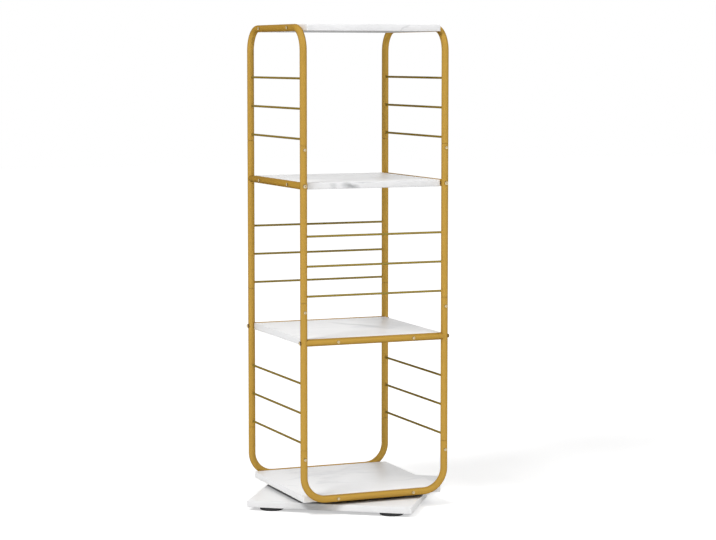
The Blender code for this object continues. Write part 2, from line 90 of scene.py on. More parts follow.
def pick(kind, test):
    """Select the faces or edges of the mesh in edit mode that pass a test."""
    mesh = bmesh.from_edit_mesh(bpy.context.object.data)
    bpy.ops.mesh.select_mode(type={"faces": "FACE", "edges": "EDGE"}[kind])
    for element in (*mesh.verts, *mesh.edges, *mesh.faces):
        element.select_set(False)
    for element in getattr(mesh, kind):
        if test(element):
            element.select_set(True)
    bmesh.update_edit_mesh(bpy.context.object.data)


clear_selection()
print("objects still selected after the frame was loaded:", len(bpy.context.selected_objects))

# %% [markdown]
# A modifier is set up and then applied, so that its result becomes the mesh. A finished piece sits
# at the world's origin with its place in its mesh, as the CAD nodes do. That keeps a pattern that
# reads Object coordinates at the same scale on every piece.


# %% Finishing helpers
def modify(piece, kind, **settings):
    """Add one modifier, set it up and apply it."""
    activate(piece)
    modifier = piece.modifiers.new(kind.title(), kind)
    for name, value in settings.items():
        setattr(modifier, name, value)
    bpy.ops.object.modifier_apply(modifier=modifier.name)


def round_edges(piece, width, segments=2, sharper_than=40):
    """Round off the edges that are sharper than an angle in degrees."""
    limit = math.radians(sharper_than)
    modify(piece, "BEVEL", width=width, segments=segments, limit_method="ANGLE", angle_limit=limit)


def cut_away(piece, tool, operation="DIFFERENCE"):
    """Cut a piece with another one, or add the two up, and throw the tool away."""
    modify(piece, "BOOLEAN", operation=operation, solver="EXACT", object=tool)
    bpy.data.objects.remove(tool)


def settle(piece, name):
    """Put the piece's place, turn and scale into its mesh."""
    activate(piece)
    bpy.ops.object.transform_apply(location=True, rotation=True, scale=True)
    piece.name = name
    piece.data.name = name
    return piece


def coat(piece, *finishes):
    """Give a piece its finishes. A face that is told nothing gets the first one."""
    for finish in finishes:
        piece.data.materials.append(finish)


def smooth(piece, degrees=35):
    """Shade round surfaces smooth and keep the sharp edges."""
    activate(piece)
    bpy.ops.object.shade_smooth_by_angle(angle=math.radians(degrees))


DEBURR = 0.0002  # how far a cut edge of metal is rounded off
print("a cut edge is rounded by", DEBURR * 1000, "mm")


# %% Joining, copying and handing over
def join(pieces, name):
    """Make one object of several."""
    activate(pieces[0])
    for piece in pieces:
        piece.select_set(True)
    bpy.ops.object.join()
    return settle(bpy.context.object, name)


def copy_of(piece, name, matrix):
    """A copy with a mesh of its own, moved by a matrix."""
    copy = piece.copy()
    copy.data = piece.data.copy()
    copy.name = name
    copy.data.name = name
    bpy.context.scene.collection.objects.link(copy)
    copy.data.transform(matrix)
    return copy


def hand_over(piece, body, nodes):
    """Let a finished piece move with its body and stand for its CAD nodes."""
    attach(piece, body)
    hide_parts(*nodes)


def report(name, piece):
    """Print a piece's size."""
    print(f"{name}:", [round(value * 1000, 1) for value in piece.dimensions], "mm")


print("CAD nodes to stand for:", len(frame["nodes"]))

# %% [markdown]
# ## Sizes
#
# The bookcase is built round four posts at the corners of a square. Most heights follow from the
# CAD boxes, so they are read from there. The sizes that a box doesn't show, such as a tube's wall
# or a bend, are written down once.


# %% Sizes of the tube tower
def box_size(node):
    """A CAD node's size along X, Y and Z."""
    low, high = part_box(node)
    return [b - a for a, b in zip(low, high)]


TUBE = 0.008  # outer radius of every post and bar
WALL = 0.001
SPIGOT = 0.0067  # outer radius of a swaged end
SPIGOT_LENGTH = 0.035
SHOULDER = 0.0008  # height over which a swaged end widens to the full tube
CLEARANCE = 0.0003  # between two pieces that meet
BEND = 0.052  # radius of a corner's centre line
ROD = 0.0025
ROD_SPACING = 0.067
FIRST_ROD = 0.0145  # above the seam below it
HAIR = 0.000001  # so that rounding keeps the top bar in the CAD box
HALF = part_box("bottom_frame_front")[1][0] - TUBE  # from the axis to a post's centre line
BOTTOM_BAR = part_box("bottom_frame_front")[0][2] + TUBE
TOP_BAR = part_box("top_frame_left")[1][2] - TUBE - HAIR
BOTTOM_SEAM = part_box("lower_frame_left")[0][2] + SPIGOT_LENGTH
MIDDLE_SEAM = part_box("middle_frame_front")[0][2] + SPIGOT_LENGTH
TOP_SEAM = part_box("top_frame_left")[0][2] + SPIGOT_LENGTH
print(f"post centre lines at {HALF * 1000:.1f} mm")
print(f"seams at {BOTTOM_SEAM:.4f}, {MIDDLE_SEAM:.4f} and {TOP_SEAM:.4f} m")

# %% [markdown]
# ## Gold paint
#
# The steel is sprayed with a satin gold metallic paint. It is metal flake in a tinted binder, so it
# is part rough mirror and part dull colour, and the metallic value stays under a half. Its edges
# stay dark where plain metal would turn white, so the tint that a metal takes at its edge is dark
# and the shine of a clear film is off. One way to make it is a picture of paint. A few noise nodes
# do it better, because they have no seams on a bent tube: a fine flake in the colour, a slow change
# of gloss, and the faint orange peel of sprayed paint. The thin rods get a darker, greyer copy of
# the paint, which is painted shade: it makes them look as if they stood in shade.


# %% A new finish and its patterns
def new_finish(name, roughness, metallic):
    """A material with one shader, and Object coordinates for its patterns."""
    material = bpy.data.materials.new(name)
    material.use_nodes = True
    nodes = material.node_tree.nodes
    shader = nodes["Principled BSDF"]
    shader.inputs["Roughness"].default_value = roughness
    shader.inputs["Metallic"].default_value = metallic
    place = nodes.new("ShaderNodeTexCoord")
    return material, shader, place.outputs["Object"]


def link(material, source, target):
    """Join one node's output to another's input."""
    material.node_tree.links.new(source, target)


def noise(material, place, scale, detail=2.0, distortion=0.0):
    """A noise pattern; a scale of 100 has spots about 10 mm apart."""
    node = material.node_tree.nodes.new("ShaderNodeTexNoise")
    node.inputs["Scale"].default_value = scale
    node.inputs["Detail"].default_value = detail
    node.inputs["Distortion"].default_value = distortion
    link(material, place, node.inputs["Vector"])
    return node.outputs["Fac"]


def spread(material, source, low, high, start=0.0, end=1.0):
    """Stretch a number from one range to another."""
    node = material.node_tree.nodes.new("ShaderNodeMapRange")
    for name, value in (("From Min", start), ("From Max", end), ("To Min", low), ("To Max", high)):
        node.inputs[name].default_value = value
    link(material, source, node.inputs["Value"])
    return node.outputs["Result"]


MIDDLE = (0.3, 0.7)  # the range of a noise that holds nearly all of its values
print("most of a noise lies between", *MIDDLE)


# %% Colours
def ramp(material, source, dark, light, start=MIDDLE[0], end=MIDDLE[1]):
    """Turn a number into a colour between a dark and a light one."""
    node = material.node_tree.nodes.new("ShaderNodeValToRGB")
    link(material, source, node.inputs["Fac"])
    stops = ((start, dark), (end, light))
    for element, (position, color) in zip(node.color_ramp.elements, stops):
        element.position = position
        element.color = (*color, 1.0)
    return node.outputs["Color"]


def blend(material, amount, first, second):
    """Mix two colours by an amount that a pattern gives."""
    node = material.node_tree.nodes.new("ShaderNodeMix")
    node.data_type = "RGBA"
    link(material, amount, node.inputs["Factor"])
    for socket, value in ((node.inputs["A"], first), (node.inputs["B"], second)):
        if isinstance(value, tuple):
            socket.default_value = (*value, 1.0)
        else:
            link(material, value, socket)
    return node.outputs["Result"]


print("a ramp's two colours lie at", *MIDDLE, "unless a finish says otherwise")


# %% Gloss and relief
def vary_gloss(material, shader, pattern, low, high):
    """Let a pattern change the roughness a little."""
    link(material, spread(material, pattern, low, high, *MIDDLE), shader.inputs["Roughness"])


def relief(material, shader, height, distance, strength):
    """Let a pattern raise the surface a little, in metres."""
    node = material.node_tree.nodes.new("ShaderNodeBump")
    node.inputs["Strength"].default_value = strength
    node.inputs["Distance"].default_value = distance
    link(material, height, node.inputs["Height"])
    link(material, node.outputs["Normal"], shader.inputs["Normal"])


FINE = 0.00001  # a relief that is felt in the gloss only
print("a fine relief is", FINE * 1000, "mm high")


# %% Gold paint
def make_gold_paint(name, dark, light, edge_tint):
    """Satin metallic paint with flake, drift and orange peel."""
    material, shader, place = new_finish(name, 0.36, 0.40)
    shader.inputs["Specular IOR Level"].default_value = 0.0
    shader.inputs["Specular Tint"].default_value = (*edge_tint, 1.0)
    flake = noise(material, place, 1800.0, 1.0)
    drift = noise(material, place, 12.0, 2.0)
    flaked = ramp(material, flake, dark, light)
    shade = spread(material, drift, 0.0, 0.30, 0.35, 0.65)
    link(material, blend(material, shade, flaked, dark), shader.inputs["Base Color"])
    vary_gloss(material, shader, drift, 0.33, 0.39)
    relief(material, shader, noise(material, place, 500.0, 2.0), FINE, 0.4)
    return material


gold_paint = make_gold_paint(
    "gold_paint",
    dark=(0.480, 0.288, 0.058),
    light=(0.535, 0.322, 0.066),
    edge_tint=(0.06, 0.04, 0.03),
)
# The rods' darker, greyer copy of the paint is painted shade.
painted_shade_rod_paint = make_gold_paint(
    "gold_paint_in_painted_shade_for_rods",
    dark=(0.285, 0.208, 0.045),
    light=(0.325, 0.238, 0.053),
    edge_tint=(0.20, 0.12, 0.05),
)
print("finishes:", gold_paint.name, "and", painted_shade_rod_paint.name)

# %% [markdown]
# ## Bent tube
#
# On the real bookcase a frame is one length of tube, bent on a round former. The same can be done
# here: a circle is the tube's cut end, and extruding it runs the tube straight, spinning it makes a
# bend, and scaling it swages the end down to fit inside the next tube. A curve with a bevel would
# be quicker, but it can't change its radius sharply at the swage.


# %% Running a ring
TUBE_SIDES = 48


def start_ring(name, place, radius, sides=TUBE_SIDES, turn=(0, 0, 0), fill="NOTHING"):
    """A ring, or a disc, in edit mode with all of it selected."""
    clear_selection()
    bpy.ops.mesh.primitive_circle_add(
        vertices=sides, radius=radius, fill_type=fill, location=place, rotation=turn
    )
    piece = settle(bpy.context.object, name)
    bpy.ops.object.mode_set(mode="EDIT")
    bpy.ops.mesh.select_all(action="SELECT")
    return piece


def run(x, y, z, widen=1.0, about=None):
    """Extrude the ring straight on, and widen or narrow it there."""
    bpy.ops.mesh.extrude_region_move(TRANSFORM_OT_translate={"value": (x, y, z)})
    if widen != 1.0:
        bpy.ops.transform.resize(value=(widen, widen, widen), center_override=about)


def face_outwards():
    """Turn the faces of the closed shape in edit mode outwards, and leave edit mode."""
    bpy.ops.mesh.select_all(action="SELECT")
    bpy.ops.mesh.normals_make_consistent(inside=False)
    clear_selection()


print("a tube has", TUBE_SIDES, "sides")

# %% Straights and bends
BEND_STEPS = 18
END_STEP = 0.001


def straight(x, y, z):
    """Run straight on in three steps. The short end ones keep the shading of the long one even."""
    whole = Vector((x, y, z))
    end = whole.normalized() * END_STEP
    for step in (end, whole - 2 * end, end):
        run(*step)


def corner(centre, axis):
    """Spin the ring round a former, a quarter of a turn."""
    bpy.ops.mesh.spin(steps=BEND_STEPS, angle=math.radians(90), center=centre, axis=axis)


print("a bend has", BEND_STEPS, "steps, on a radius of", BEND * 1000, "mm")

# %% Shoulders and walls
# Each ring of the shoulder has a height over the seam and a radius.
SHOULDER_PROFILE = [(0.0, SPIGOT), (0.0, 0.0071), (0.0003, 0.0077), (SHOULDER, TUBE)]


def swage(x, y, seam, rising):
    """The shoulder between a swaged end and the full tube, as short, widening runs."""
    profile = SHOULDER_PROFILE if rising else SHOULDER_PROFILE[::-1]
    height = seam + profile[0][0]
    radius = profile[0][1]
    for above, wanted in profile[1:]:
        step = seam + above - height
        height += step
        run(0, 0, step, wanted / radius, (x, y, height))
        radius = wanted


def give_wall(piece, probe):
    """Turn the skin's faces away from a point inside, then thicken it and deburr the cut ends."""
    clear_selection()
    face = min(piece.data.polygons, key=lambda polygon: (polygon.center - Vector(probe)).length)
    if face.normal.dot(face.center - Vector(probe)) < 0:
        edit(piece, "SELECT")
        bpy.ops.mesh.flip_normals()
    modify(piece, "SOLIDIFY", thickness=WALL, offset=-1.0, use_even_offset=True)
    round_edges(piece, DEBURR)


print("a shoulder has", len(SHOULDER_PROFILE), "rings, and a wall is", WALL * 1000, "mm thick")

# %% [markdown]
# ## The four kinds of frame
#
# From the floor up, each pair of frames stands across the pair below it. The bottom frames are U
# shapes at front and back, the lower ones are ladders at left and right, the middle ones are ladders
# at front and back again, and the top ones are upside-down U shapes at left and right. Each kind is
# modelled once on the front face. Its copies are then turned about the upright axis.

# %% Bottom frame, a U
bottom_frame = start_ring("bottom_tube", (-HALF, -HALF, BOTTOM_SEAM - CLEARANCE), TUBE)
straight(0, 0, BOTTOM_BAR + BEND - BOTTOM_SEAM + CLEARANCE)
corner((-HALF + BEND, -HALF, BOTTOM_BAR + BEND), (0, 1, 0))
straight(2 * (HALF - BEND), 0, 0)
corner((HALF - BEND, -HALF, BOTTOM_BAR + BEND), (0, 1, 0))
straight(0, 0, BOTTOM_SEAM - CLEARANCE - BOTTOM_BAR - BEND)
give_wall(bottom_frame, (0, -HALF, BOTTOM_BAR))
report("bottom frame", bottom_frame)

# %% Top frame, an upside-down U
top_tube = start_ring("top_tube", (-HALF, -HALF, TOP_SEAM - SPIGOT_LENGTH), SPIGOT)
straight(0, 0, SPIGOT_LENGTH)
swage(-HALF, -HALF, TOP_SEAM, rising=True)
straight(0, 0, TOP_BAR - BEND - TOP_SEAM - SHOULDER)
corner((-HALF + BEND, -HALF, TOP_BAR - BEND), (0, -1, 0))
straight(2 * (HALF - BEND), 0, 0)
corner((HALF - BEND, -HALF, TOP_BAR - BEND), (0, -1, 0))
straight(0, 0, TOP_SEAM + SHOULDER - TOP_BAR + BEND)
swage(HALF, -HALF, TOP_SEAM, rising=False)
straight(0, 0, -SPIGOT_LENGTH)
give_wall(top_tube, (0, -HALF, TOP_BAR))
report("top frame", top_tube)


# %% Straight posts
def straight_post(name, x, seam, top):
    """A post with a swaged lower end and an open top."""
    post = start_ring(name, (x, -HALF, seam - SPIGOT_LENGTH), SPIGOT)
    straight(0, 0, SPIGOT_LENGTH)
    swage(x, -HALF, seam, rising=True)
    straight(0, 0, top - seam - SHOULDER - CLEARANCE)
    give_wall(post, (x, -HALF, (seam + top) / 2))
    return post


lower_posts = [straight_post("lower_post", x, BOTTOM_SEAM, MIDDLE_SEAM) for x in (-HALF, HALF)]
middle_posts = [straight_post("middle_post", x, MIDDLE_SEAM, TOP_SEAM) for x in (-HALF, HALF)]
report("lower post", lower_posts[0])
report("middle post", middle_posts[0])

# %% [markdown]
# ## Welded rods
#
# Three thin rods cross each ladder. They are welded to the posts, and a weld leaves a small bead
# that flares out where the rod meets the tube. A rod is a ring extruded along its length, wide at
# the two ends for the bead. It starts inside the post's wall, so that no gap shows at the joint.

# %% One rod and its weld beads
BEAD = [  # distance from the post's centre line, and radius
    (0.0069, 0.0044), (0.0076, 0.0038), (0.0082, 0.0032),
    (0.0088, 0.00275), (0.0096, 0.00255), (0.0104, ROD),
]
BEAD_END = 0.0100  # where the tube's coat gives way to the rod's
ALONG_X = (0, math.pi / 2, 0)
stations = [(-HALF + x, radius) for x, radius in BEAD]
stations += [(HALF - x, radius) for x, radius in reversed(BEAD)]
rod = start_ring("rod", (stations[0][0], -HALF, 0), stations[0][1], sides=24, turn=ALONG_X)
bpy.ops.mesh.edge_face_add()
for (x, radius), (next_x, next_radius) in zip(stations, stations[1:]):
    run(next_x - x, 0, 0, next_radius / radius, (next_x, -HALF, 0))
face_outwards()
# The rod's middle gets the darker copy of the paint, which is painted shade; its bead ends keep the
# tube's paint.
coat(rod, gold_paint, painted_shade_rod_paint)
for polygon in rod.data.polygons:
    polygon.material_index = 1 if abs(polygon.center.x) < HALF - BEAD_END else 0
report("rod", rod)


# %% Ladders
def ladder(tubes, seam, name):
    """Join tubes and their three rods into one welded frame."""
    for tube in tubes:
        coat(tube, gold_paint, painted_shade_rod_paint)
    heights = [seam + FIRST_ROD + i * ROD_SPACING for i in range(3)]
    rods = [copy_of(rod, "rod_copy", Matrix.Translation((0, 0, height))) for height in heights]
    welded = join(tubes + rods, name)
    smooth(welded)
    return welded


lower_frame = ladder(lower_posts, BOTTOM_SEAM, "lower_ladder")
middle_frame = ladder(middle_posts, MIDDLE_SEAM, "middle_ladder")
top_frame = ladder([top_tube], TOP_SEAM, "top_ladder")
coat(bottom_frame, gold_paint)
smooth(bottom_frame)
bpy.data.objects.remove(rod)
report("lower ladder", lower_frame)

# %% Frames on their faces
FACE_TURN = {"front": 0, "right": 90, "back": 180, "left": -90}


def on_face(face):
    """The turn that brings a piece from the front face to another one."""
    return Matrix.Rotation(math.radians(FACE_TURN[face]), 4, "Z")


for kind, model, faces in (
    ("bottom_frame", bottom_frame, ("front", "back")),
    ("lower_frame", lower_frame, ("left", "right")),
    ("middle_frame", middle_frame, ("front", "back")),
    ("top_frame", top_frame, ("left", "right")),
):
    for face in faces:
        piece = copy_of(model, f"tube_{kind}_{face}", on_face(face))
        hand_over(piece, "tower", [f"{kind}_{face}"])
    bpy.data.objects.remove(model)

# %% [markdown]
# ## Crossbars
#
# The two middle shelves have no bent bar to lie between, so a straight tube is screwed between two
# posts on each side of them. Its ends are coped, which means that they are hollowed out to fit round
# the posts. The hollow is cut with a Boolean modifier, and a cylinder the size of the post does the
# cutting, much as a hole saw does in a workshop.

# %% Crossbar with coped ends
crossbar = start_ring("crossbar", (-HALF, -HALF, 0), TUBE, turn=ALONG_X, fill="NGON")
run(2 * HALF, 0, 0)
face_outwards()
for side in (-1, 1):
    clear_selection()
    bpy.ops.mesh.primitive_cylinder_add(
        vertices=96, radius=TUBE + CLEARANCE, depth=0.04, location=(side * HALF, -HALF, 0)
    )
    cut_away(crossbar, bpy.context.object)
round_edges(crossbar, DEBURR, sharper_than=50)
coat(crossbar, gold_paint)
smooth(crossbar)
for face in ("front", "back", "left", "right"):
    low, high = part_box(f"crossbar_{face}")
    lift = Matrix.Translation((0, 0, (low[2] + high[2]) / 2))
    piece = copy_of(crossbar, f"tube_crossbar_{face}", lift @ on_face(face))
    hand_over(piece, "tower", [f"crossbar_{face}"])
report("crossbar", crossbar)
bpy.data.objects.remove(crossbar)

# %% [markdown]
# ## Marble print
#
# The boards are particle board under a smooth sheet with a white marble print. Marble has soft grey
# clouds and veins that wander, fork and fade. A vein is where a noise pattern crosses its middle
# value, so the distance from that value, squeezed by a ramp, draws a thin line. A second noise bends
# the first, a third lets the veins fade in places, and each board reads the pattern at its own spot,
# as if cut from another part of the sheet. A stain that has to lie at one spot is a soft ball of
# darkness, squashed to its size and bent by a noise so that it has no clean outline.


# %% Moving and bending a pattern
HALFWAY = 0.5  # the middle value of a noise


def shifted(material, place, offset, turn, stretch):
    """Move, turn and stretch a pattern."""
    node = material.node_tree.nodes.new("ShaderNodeMapping")
    node.inputs["Location"].default_value = offset
    node.inputs["Rotation"].default_value = turn
    node.inputs["Scale"].default_value = stretch
    link(material, place, node.inputs["Vector"])
    return node.outputs["Vector"]


def bent(material, place, scale, amount):
    """Push a pattern about with a noise of its own."""
    nodes = material.node_tree.nodes
    push = nodes.new("ShaderNodeTexNoise")
    push.inputs["Scale"].default_value = scale
    push.inputs["Detail"].default_value = 4.0
    link(material, place, push.inputs["Vector"])
    centred = nodes.new("ShaderNodeVectorMath")
    centred.operation = "SUBTRACT"
    centred.inputs[1].default_value = (HALFWAY, HALFWAY, HALFWAY)
    link(material, push.outputs["Color"], centred.inputs[0])
    moved = nodes.new("ShaderNodeVectorMath")
    moved.operation = "MULTIPLY_ADD"
    moved.inputs[1].default_value = (amount, amount, amount)
    link(material, centred.outputs["Vector"], moved.inputs[0])
    link(material, place, moved.inputs[2])
    return moved.outputs["Vector"]


print("a bend pushes a pattern both ways from a noise of", HALFWAY)


# %% Veins
def vein(material, place, scale, width, depth):
    """A number that is high on thin wandering lines."""
    nodes = material.node_tree.nodes
    away = nodes.new("ShaderNodeMath")
    away.operation = "SUBTRACT"
    away.inputs[1].default_value = HALFWAY
    link(material, noise(material, place, scale, 3.0), away.inputs[0])
    size = nodes.new("ShaderNodeMath")
    size.operation = "ABSOLUTE"
    link(material, away.outputs[0], size.inputs[0])
    return spread(material, size.outputs[0], depth, 0.0, 0.0, width)


def product(material, first, second):
    """One number times another, so that the second can fade the first."""
    node = material.node_tree.nodes.new("ShaderNodeMath")
    node.operation = "MULTIPLY"
    link(material, first, node.inputs[0])
    link(material, second, node.inputs[1])
    return node.outputs[0]


print("a vein runs where its noise crosses", HALFWAY)


# %% Stains
FULL_STAIN = 0.8  # how far in from its outline a stain is at its darkest


def stain(material, place, centre, size, turn, amount):
    """A soft stain at a chosen spot: a long size makes it a streak."""
    nodes = material.node_tree.nodes
    node = nodes.new("ShaderNodeMapping")
    node.vector_type = "TEXTURE"
    node.inputs["Location"].default_value = centre
    node.inputs["Rotation"].default_value = [math.radians(value) for value in turn]
    node.inputs["Scale"].default_value = size
    link(material, place, node.inputs["Vector"])
    ball = nodes.new("ShaderNodeTexGradient")
    ball.gradient_type = "SPHERICAL"
    link(material, node.outputs["Vector"], ball.inputs["Vector"])
    return spread(material, ball.outputs["Fac"], 0.0, amount, 0.0, FULL_STAIN)


print("a stain is at its darkest from", FULL_STAIN, "of the way to its centre")

# %% Marble print
WHITE = (0.875, 0.875, 0.88)
CLOUD_GREY = (0.68, 0.69, 0.71)
VEIN_GREY = (0.50, 0.51, 0.54)
FINE_VEIN_GREY = (0.55, 0.56, 0.58)
STAIN_GREY = (0.30, 0.31, 0.32)


def make_marble(name, offset, clouds, veins, stains=(), ground=WHITE):
    """A marble print that reads the pattern at its own spot."""
    material, shader, place = new_finish(name, 0.40, 0.0)
    slant = (0.3, 0.2, math.radians(35))
    sheet = shifted(material, place, offset, turn=slant, stretch=(1.0, 2.4, 1.6))
    wavy = bent(material, sheet, scale=4.0, amount=0.10)
    cloud = spread(material, noise(material, wavy, 4.0, 4.0), 0.0, clouds, 0.50, 0.78)
    fade = spread(material, noise(material, sheet, 5.0, 2.0), 0.0, 1.0, 0.45, 0.65)
    main = product(material, vein(material, wavy, scale=2.6, width=0.030, depth=veins), fade)
    tight = bent(material, sheet, scale=9.0, amount=0.05)
    fine = product(material, vein(material, tight, scale=6.0, width=0.014, depth=0.6 * veins), fade)
    color = blend(material, cloud, ground, CLOUD_GREY)
    color = blend(material, main, color, VEIN_GREY)
    color = blend(material, fine, color, FINE_VEIN_GREY)
    for scale, push, *shape in stains:
        amount = stain(material, bent(material, place, scale, push), *shape)
        color = blend(material, amount, color, STAIN_GREY)
    link(material, color, shader.inputs["Base Color"])
    vary_gloss(material, shader, noise(material, place, 60.0, 2.0), 0.36, 0.44)
    relief(material, shader, noise(material, place, 900.0, 2.0), FINE, 0.4)
    return material


print("marble ground:", WHITE, "veins:", VEIN_GREY)

# %% [markdown]
# ## Backing sheet
#
# A board that is covered on one side only would bend, so its underside gets a plain sheet too. It
# is a resin paper with a faint grain, here a fine noise that is stretched along the board. Its grey
# is painted shade: it darkens the undersides, and under the top board it shows as a thin grey line.
# The shelf over the turntable gets a near-black one, which is painted shade that keeps the narrow
# gap below it a crisp dark line, because a pale sheet would bounce light into it.


# %% Backing sheets
def make_backing(name, dark, light):
    """Resin paper with a grain that runs along the board."""
    material, shader, place = new_finish(name, 0.55, 0.0)
    along = shifted(material, place, offset=(0, 0, 0), turn=(0, 0, 0), stretch=(1.0, 0.2, 1.0))
    fibre = noise(material, along, 900.0, 3.0)
    link(material, ramp(material, fibre, dark, light), shader.inputs["Base Color"])
    vary_gloss(material, shader, fibre, 0.50, 0.62)
    return material


# Both sheets' colours are painted shade: the grey one darkens the undersides, the near-black one the
# gap over the turntable.
painted_shade_grey_backing = make_backing("grey_sheet_of_painted_shade", (0.34, 0.34, 0.345), (0.41, 0.41, 0.415))
painted_shade_dark_backing = make_backing("dark_sheet_of_painted_shade", (0.04, 0.04, 0.042), (0.06, 0.06, 0.062))
print("finishes:", painted_shade_grey_backing.name, "and", painted_shade_dark_backing.name)

# %% [markdown]
# ## Boards
#
# A board starts as a cube at the CAD box's size. A strip of the same print is ironed on to its four
# edges, and the strip's corners are sanded over, so the long edges catch the light. A bevel does
# the sanding, because cutting the corners by hand would have to be done twelve times a board. The
# strip is a separate piece of print on the real board, so its veins don't run on from the top, and
# it gets its own spot in the pattern. The bottom shelf's strip is a little whiter than the others,
# which is painted light: it makes up for the light its low sides miss. The stains that show on the
# real boards are placed one by one.

# %% One board
SANDED = 0.0008
EDGE_SPOT = 3.7  # how far from the top sheet's spot the edge strip reads the pattern
EDGE_CLOUDS = 0.15
EDGE_VEINS = 0.10


def board(node, name, body, offset, clouds, veins, turn=0.0, stains=(), edge_stains=(),
          under=painted_shade_grey_backing, edge_ground_with_painted_light=WHITE):
    """A board of a node's size, square to the axes and then turned."""
    low, high = (Vector(corner_point) for corner_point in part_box(node))
    size = high - low
    if turn:
        side = size.x / (abs(math.cos(turn)) + abs(math.sin(turn)))
        size = Vector((side, side, size.z))
    clear_selection()
    bpy.ops.mesh.primitive_cube_add(
        size=1.0, location=(low + high) / 2, scale=size, rotation=(0, 0, turn)
    )
    piece = settle(bpy.context.object, name)
    round_edges(piece, SANDED, segments=4)
    edge_offset = tuple(value + EDGE_SPOT for value in offset)
    top = make_marble(f"marble_{name}", offset, clouds, veins, stains)
    edge = make_marble(
        f"marble_edge_{name}", edge_offset, EDGE_CLOUDS, EDGE_VEINS, edge_stains, edge_ground_with_painted_light
    )
    coat(piece, top, edge, under)
    for polygon in piece.data.polygons:
        if polygon.normal.z < -0.5:
            polygon.material_index = 2
        elif polygon.normal.z < 0.5:
            polygon.material_index = 1
    smooth(piece)
    hand_over(piece, body, [node])
    return piece


print("the board's corners are sanded by", SANDED * 1000, "mm")

# %% The five boards
BASE_TURN = math.radians(-34.4)
SOFT = (12.0, 0.05)  # how finely and how far a stain's outline wanders
SMALL = (60.0, 0.012)
# After that, a stain has its centre, its size, its turn in degrees and how dark it is.
boards = [
    board("top_shelf", "board_top", "tower", (0.10, 0.35, 0.2), clouds=0.60, veins=0.60, edge_stains=[
        (*SMALL, (0.073, 0, 1.095), (0.022, 9, 0.003), (0, -32, 0), 0.25),
        (*SMALL, (-0.155, 0, 1.094), (0.014, 9, 0.012), (0, 0, 0), 0.12),
    ]),
    board("upper_shelf", "board_upper", "tower", (1.30, 0.10, 0.9), clouds=0.30, veins=0.40, stains=[
        (*SOFT, (0.00, 0.02, 0), (0.26, 0.28, 9), (0, 0, 0), 0.26),
        (*SOFT, (0.11, -0.05, 0), (0.07, 0.13, 9), (0, 0, -25), 0.22),
    ], edge_stains=[
        (*SMALL, (-0.058, 0, 0.742), (0.026, 9, 0.009), (0, 12, 0), 0.75),
        (*SMALL, (-0.100, 0, 0.745), (0.012, 9, 0.010), (0, 30, 0), 0.30),
        (*SMALL, (-0.028, 0, 0.750), (0.030, 9, 0.004), (0, 0, 0), 0.25),
    ]),
    board("lower_shelf", "board_lower", "tower", (2.15, 1.20, 0.4), clouds=0.30, veins=0.40, stains=[
        (*SOFT, (0.046, 0.028, 0), (0.11, 0.022, 9), (0, 0, -66), 0.46),
        (*SOFT, (0.13, 0.02, 0), (0.08, 0.17, 9), (0, 0, 10), 0.28),
    ]),
    # The bottom shelf's whiter edge strip is painted light, for the light its low sides miss.
    board("bottom_shelf", "board_bottom", "tower", (0.55, 2.60, 1.7), clouds=0.25, veins=0.30, stains=[
        (*SOFT, (0.13, 0.03, 0), (0.10, 0.18, 9), (0, 0, -10), 0.10),
    ], under=painted_shade_dark_backing, edge_ground_with_painted_light=(0.95, 0.95, 0.95)),
    board("base_board", "board_base", "base", (3.10, 0.75, 2.3), clouds=0.30, veins=0.40, edge_stains=[
        (*SMALL, (-0.137, -0.148, 0.014), (0.040, 0.040, 0.010), (0, 0, 0), 0.15),
    ], turn=BASE_TURN),
]
for piece in boards:
    report(piece.name, piece)

# %% [markdown]
# ## Screws
#
# All the screws have a pan head with a cross recess. The head is a ring extruded in short, narrowing
# steps, which gives its domed edge. The recess is cut with a tapered cross: two cubes, narrowed at
# the bottom. A bump in the finish would be less work, but it leaves no recess in the mesh. The shank
# hides in the tube, so it only needs its length and a pointed tip. The plating is pale brass on top
# with a fine brushed grain. Round the rim it is painted a dark brown, which is painted shade: the
# shade on a head's sides, seen as a dark dot wherever a head is seen from the side.

# %% Screw metal
screw_metal, shader, place = new_finish("screw_metal", 0.28, 1.0)
brushed = noise(screw_metal, place, 1500.0, 2.0)
brass = ramp(screw_metal, brushed, (0.58, 0.46, 0.27), (0.70, 0.57, 0.35))
link(screw_metal, brass, shader.inputs["Base Color"])
vary_gloss(screw_metal, shader, brushed, 0.22, 0.36)
relief(screw_metal, shader, noise(screw_metal, place, 3000.0, 1.0), FINE, 0.3)

# The rim's dark finish is painted shade: it darkens the sides of each head.
painted_shade_rim_metal, shader, place = new_finish("painted_shade_screw_rim", 0.45, 0.9)
rim_shade_grain = noise(painted_shade_rim_metal, place, 900.0, 2.0)
bronze = ramp(painted_shade_rim_metal, rim_shade_grain, (0.10, 0.060, 0.020), (0.17, 0.105, 0.040))
link(painted_shade_rim_metal, bronze, shader.inputs["Base Color"])
print("finishes:", screw_metal.name, "and", painted_shade_rim_metal.name)


# %% Turning a shape and cutting a cross
SCREW_SIDES = 32
TAPER = 0.45  # width of a recess at its bottom, beside its top


def turned(name, outline, sides, hollow=False):
    """A shape turned from an outline of radii and heights: a solid, or a closed hollow ring."""
    radius, z = outline[0]
    piece = start_ring(name, (0, 0, z), radius, sides, fill="NOTHING" if hollow else "NGON")
    for (radius, z), (next_radius, next_z) in zip(outline, outline[1:]):
        run(0, 0, next_z - z, next_radius / radius, (0, 0, next_z))
    if hollow:
        pick("edges", lambda edge: edge.is_boundary)
        bpy.ops.mesh.bridge_edge_loops()
    face_outwards()
    return piece


